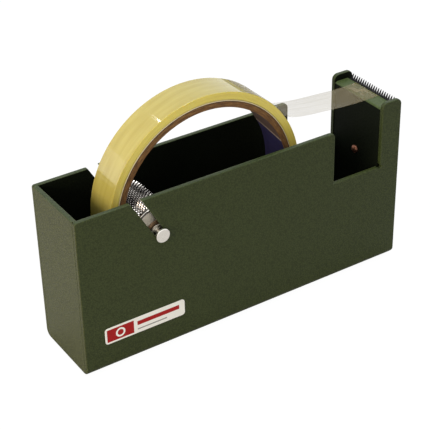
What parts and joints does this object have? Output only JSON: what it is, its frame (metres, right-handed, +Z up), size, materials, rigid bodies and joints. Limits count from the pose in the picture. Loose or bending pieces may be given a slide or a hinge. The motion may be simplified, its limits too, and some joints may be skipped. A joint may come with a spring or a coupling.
{
  "type": "tape dispenser",
  "caption": "Heavy desk-top tape dispenser: open folded steel box, knurled roller on a slot spindle, tape roll on a wide card core, toothed cutter on a raised platform.",
  "frame": {"origin": "middle of the footprint, on the table", "axes": "+X along the box from the closed end to the cutter, +Y from the front panel with the label to the back panel, +Z up"},
  "size_m": [0.153, 0.038, 0.1004],
  "materials": {
    "green_enamel": "hammered enamel, semi-gloss",
    "blued_steel": "blackened, satin",
    "nickel_plate": "bright plate",
    "knurled_nickel": "diamond knurl, nickel plated",
    "copper_plate": "satin",
    "raw_steel": "raw, dull",
    "bronze": "satin",
    "cardboard": "matte, spiral wound",
    "yellow_film": "translucent, glossy",
    "clear_film": "clear film",
    "label_paper": "printed, semi-gloss",
    "black_rubber": "matte"
  },
  "bodies": {
    "box": {"body_shell": "green_enamel", "end_plate": "green_enamel", "cutter_bracket": "green_enamel", "cutter_blade": "blued_steel", "blade_screw_front": "nickel_plate", "blade_screw_back": "nickel_plate", "blade_nut_front": "nickel_plate", "blade_nut_back": "nickel_plate", "wall_rivet": "copper_plate", "ballast_block": "raw_steel", "ballast_screw_left": "nickel_plate", "ballast_screw_right": "nickel_plate", "foot_front_left": "black_rubber", "foot_front_right": "black_rubber", "foot_back_left": "black_rubber", "foot_back_right": "black_rubber", "tape_tail": "clear_film", "front_label": "label_paper"},
    "spindle": {"spindle_axle": "nickel_plate", "axle_cap": "nickel_plate", "washer_front": "nickel_plate", "washer_back": "nickel_plate"},
    "roller": {"roller_drum": "knurled_nickel", "bush_front": "bronze", "bush_back": "bronze"},
    "tape_roll": {"tape_core": "cardboard", "tape_wound": "yellow_film"}
  },
  "joints": [
    {"name": "spindle_lift", "type": "slide", "parent": "box", "child": "spindle", "axis": [-0.5, 0, 0.866], "range_m": [0, 0.024]},
    {"name": "roll_spin", "type": "hinge", "parent": "spindle", "child": "tape_roll", "pos_m": [-0.0126, 0.0005, 0.0559], "axis": [0, 1, 0], "continuous": true},
    {"name": "drum_spin", "type": "hinge", "parent": "spindle", "child": "roller", "pos_m": [-0.04045, 0, 0.0542], "axis": [0, 1, 0], "continuous": true}
  ],
  "couplings": [
    {"joint": "roll_spin", "follows": "drum_spin", "ratio": 0.25984}
  ]
}
